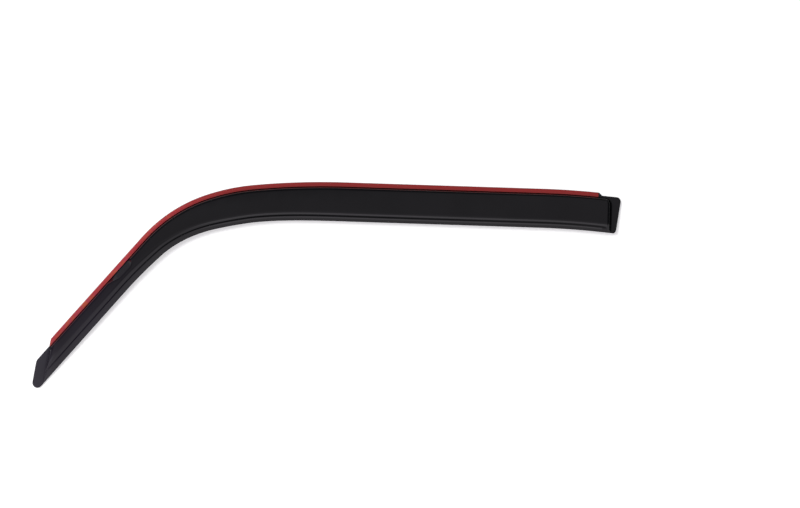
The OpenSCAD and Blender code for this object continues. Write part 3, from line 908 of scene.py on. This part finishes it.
def room_light(room, front, strip_level, far):
    """A dim room with a pale wall low towards -Y, and white behind the part."""
    world = bpy.data.worlds.new("room")
    world.use_nodes = True
    tree = world.node_tree
    tree.nodes.clear()
    direction = add(tree, "ShaderNodeTexCoord").outputs["Generated"]
    way = add(tree, "ShaderNodeSeparateXYZ", {0: direction}).outputs
    # How far a direction leans to the far left, where the room is dark except for a low wall
    far_left = (-1.2, 0.8, 0)
    along = add(tree, "ShaderNodeVectorMath", {0: direction, 1: far_left}, operation="DOT_PRODUCT")
    lean = along.outputs["Value"]
    dim = add(
        tree,
        "ShaderNodeMapRange",
        {"Value": lean, "From Min": 0.3, "From Max": 0.16, "To Min": DARK_LEFT, "To Max": room},
    )
    rise = add(
        tree,
        "ShaderNodeMapRange",
        {"Value": way["Y"], "From Min": -0.05, "From Max": -0.35, "To Max": room * LOW_IN_FRONT},
    )
    low_far = add(
        tree,
        "ShaderNodeMapRange",
        {"Value": lean, "From Min": 0.8, "From Max": 1.2, "To Max": far},
    )
    most = add(tree, "ShaderNodeMath", {0: dim.outputs[0], 1: rise.outputs[0]}, operation="ADD")
    # The right side is dark too, but for the wall in front
    right = add(
        tree,
        "ShaderNodeMapRange",
        {"Value": way["X"], "From Min": 0.15, "From Max": 0.45, "To Min": 1.0, "To Max": 0.1},
        interpolation_type="SMOOTHSTEP",
    )
    shaded = add(tree, "ShaderNodeMath", {0: most.outputs[0], 1: right.outputs[0]}, operation="MULTIPLY")
    dark = add(tree, "ShaderNodeMath", {0: shaded.outputs[0], 1: low_far.outputs[0]}, operation="ADD")
    # The pale wall in front, low over the ground and brighter to the right
    down = add(tree, "ShaderNodeMath", {0: way["X"], 1: -0.45, 2: way["Y"]}, operation="MULTIPLY_ADD")
    share = add(
        tree,
        "ShaderNodeMapRange",
        {"Value": down.outputs[0], "From Min": -0.52, "From Max": -0.68},
        interpolation_type="SMOOTHSTEP",
    )
    pale = add(
        tree,
        "ShaderNodeMapRange",
        {"Value": way["X"], "From Min": 0.3, "From Max": 0.65, "To Min": front, "To Max": front * WALL_RIGHT},
        interpolation_type="SMOOTHSTEP",
    )
    wall = add(
        tree,
        "ShaderNodeMix",
        {0: share.outputs[0], 2: dark.outputs[0], 3: pale.outputs[0]},
        data_type="FLOAT",
    )
    # A bright strip along its top, to the left
    strip = add(
        tree,
        "ShaderNodeMapRange",
        {"Value": way["Y"], "From Min": -0.36, "From Max": -0.48},
        interpolation_type="SMOOTHSTEP",
    )
    strip_end = add(
        tree,
        "ShaderNodeMapRange",
        {"Value": way["Y"], "From Min": -0.64, "From Max": -0.5},
        interpolation_type="SMOOTHSTEP",
    )
    left = add(
        tree,
        "ShaderNodeMapRange",
        {"Value": way["X"], "From Min": 0.25, "From Max": 0.08},
        interpolation_type="SMOOTHSTEP",
    )
    band = add(tree, "ShaderNodeMath", {0: strip.outputs[0], 1: strip_end.outputs[0]}, operation="MULTIPLY")
    lit = add(tree, "ShaderNodeMath", {0: band.outputs[0], 1: left.outputs[0]}, operation="MULTIPLY")
    whole = add(
        tree,
        "ShaderNodeMix",
        {0: lit.outputs[0], 2: wall.outputs[0], 3: strip_level},
        data_type="FLOAT",
    )
    seen = add(tree, "ShaderNodeLightPath").outputs["Is Camera Ray"]
    level = add(tree, "ShaderNodeMix", {0: seen, 2: whole.outputs[0], 3: 1.0}, data_type="FLOAT")
    # The room is a little violet, as the sheet is in the photograph
    violet = (0.98, 0.93, 1.0, 1.0)
    light = add(tree, "ShaderNodeBackground", {"Color": violet, "Strength": level.outputs[0]})
    add(tree, "ShaderNodeOutputWorld", {"Surface": light.outputs[0]})
    return world


class DEFLECTOR_OT_sheet(Operator):
    """Builds the smoked acrylic sheet"""

    bl_idname = "deflector.sheet"
    bl_label = "Acrylic sheet"

    def execute(self, context):
        scene = context.scene
        form = form_of(scene)
        outer, inner, marks = form.sheet_grids()
        mesh = lofted_mesh("acrylic_sheet", outer, inner, marks, sheet_origin(form))
        finish = scene.deflector_finish
        material = smoked_acrylic(finish.smoke, finish.smoke_pillar_painted_light, finish.smoke_tip_painted_light)
        place_piece("acrylic_sheet", mesh, material, "deflector_shell")
        return {"FINISHED"}


class DEFLECTOR_OT_foam(Operator):
    """Builds the foam tape on the flange"""

    bl_idname = "deflector.foam"
    bl_label = "Foam tape"

    def execute(self, context):
        scene = context.scene
        form = form_of(scene)
        low = form.wall + form.tape_seat
        top, bottom, marks = form.strip_grids(low, low + form.tape_t, FOAM_BULGE)
        mesh = lofted_mesh("foam_strip", top, bottom, marks, sheet_origin(form))
        place_piece("foam_strip", mesh, acrylic_foam(scene.deflector_finish.foam), "foam_tape")
        return {"FINISHED"}


class DEFLECTOR_OT_liner(Operator):
    """Builds the red release film on the tape"""

    bl_idname = "deflector.liner"
    bl_label = "Release film"

    def execute(self, context):
        scene = context.scene
        form = form_of(scene)
        low = form.wall + form.tape_seat + form.tape_t
        top, bottom, marks = form.strip_grids(low, low + form.liner_t, FILM_BULGE)
        mesh = lofted_mesh("liner_film", top, bottom, marks, sheet_origin(form))
        finish = scene.deflector_finish
        material = release_film(finish.liner, finish.liner_painted_brighter, finish.liner_worn, finish.liner_pink)
        place_piece("liner_film", mesh, material, "release_liner")
        return {"FINISHED"}


class DEFLECTOR_OT_studio(Operator):
    """Builds the floor, the light and the camera"""

    bl_idname = "deflector.studio"
    bl_label = "Studio"

    def execute(self, context):
        scene = context.scene
        studio = scene.deflector_studio
        scene.view_settings.view_transform = "Standard"
        reach = 12.0
        corners = [(x * reach, y * reach, 0) for x, y in ((-1, -1), (1, -1), (1, 1), (-1, 1))]
        mesh = bpy.data.meshes.new("paper_floor")
        mesh.from_pydata(corners, [], [(0, 1, 2, 3)])
        floor = bpy.data.objects.new("paper_floor", mesh)
        mesh.materials.append(white_paper(studio.paper, studio.glow))
        scene.collection.objects.link(floor)

        scene.world = room_light(studio.room, studio.front, studio.strip, studio.far)

        # The key stands to the left and a little behind the top edge, 60 degrees up, so that the soft
        # shadow falls to the right of the pillar and below the lip
        way = Vector((-0.42, 0.4, 1)).normalized()
        distance, width = 5.0, 2.9
        lamp = bpy.data.lights.new("key", "AREA")
        lamp.shape = "DISK"
        lamp.size = width
        lamp.energy = studio.key * (math.pi * distance) ** 2 / way.z
        key = bpy.data.objects.new("key", lamp)
        key.location = Vector((studio.aim_x, studio.aim_y, 0)) + way * distance
        key.rotation_euler = way.to_track_quat("Z", "Y").to_euler()
        # It only lights the part: what the gloss shows is the room
        key.visible_glossy = False
        scene.collection.objects.link(key)

        camera = bpy.data.cameras.new("camera")
        camera.sensor_width = 36
        camera.lens = camera.sensor_width * (studio.height - studio.field_z) / studio.field
        eye = bpy.data.objects.new("camera", camera)
        eye.location = (studio.aim_x, studio.aim_y, studio.height)
        scene.collection.objects.link(eye)
        scene.camera = eye
        return {"FINISHED"}


GROUPS = {
    "deflector_edge": EdgeSizes,
    "deflector_sheet": SheetSizes,
    "deflector_ends": EndSizes,
    "deflector_tape": TapeSizes,
    "deflector_finish": FinishColours,
    "deflector_studio": StudioSettings,
}
OPERATORS = (DEFLECTOR_OT_sheet, DEFLECTOR_OT_foam, DEFLECTOR_OT_liner, DEFLECTOR_OT_studio)


class DEFLECTOR_PT_panel(Panel):
    """Lists the deflector's sizes, colours and operators"""

    bl_idname = "DEFLECTOR_PT_panel"
    bl_label = "Window rain deflector"
    bl_space_type = "VIEW_3D"
    bl_region_type = "UI"
    bl_category = "Deflector"

    def draw(self, context):
        for name, kind in GROUPS.items():
            box = self.layout.box()
            box.label(text=kind.__name__)
            for prop in kind.__annotations__:
                box.prop(getattr(context.scene, name), prop)
        for operator in OPERATORS:
            self.layout.operator(operator.bl_idname)


def register():
    for kind in (*GROUPS.values(), *OPERATORS, DEFLECTOR_PT_panel):
        bpy.utils.register_class(kind)
    for name, kind in GROUPS.items():
        setattr(bpy.types.Scene, name, PointerProperty(type=kind))


def unregister():
    for name in GROUPS:
        delattr(bpy.types.Scene, name)
    for kind in (DEFLECTOR_PT_panel, *reversed(OPERATORS), *reversed(GROUPS.values())):
        bpy.utils.unregister_class(kind)


def main():
    register()
    bpy.ops.deflector.sheet()
    bpy.ops.deflector.foam()
    bpy.ops.deflector.liner()
    bpy.ops.deflector.studio()


if __name__ == "__main__":
    main()
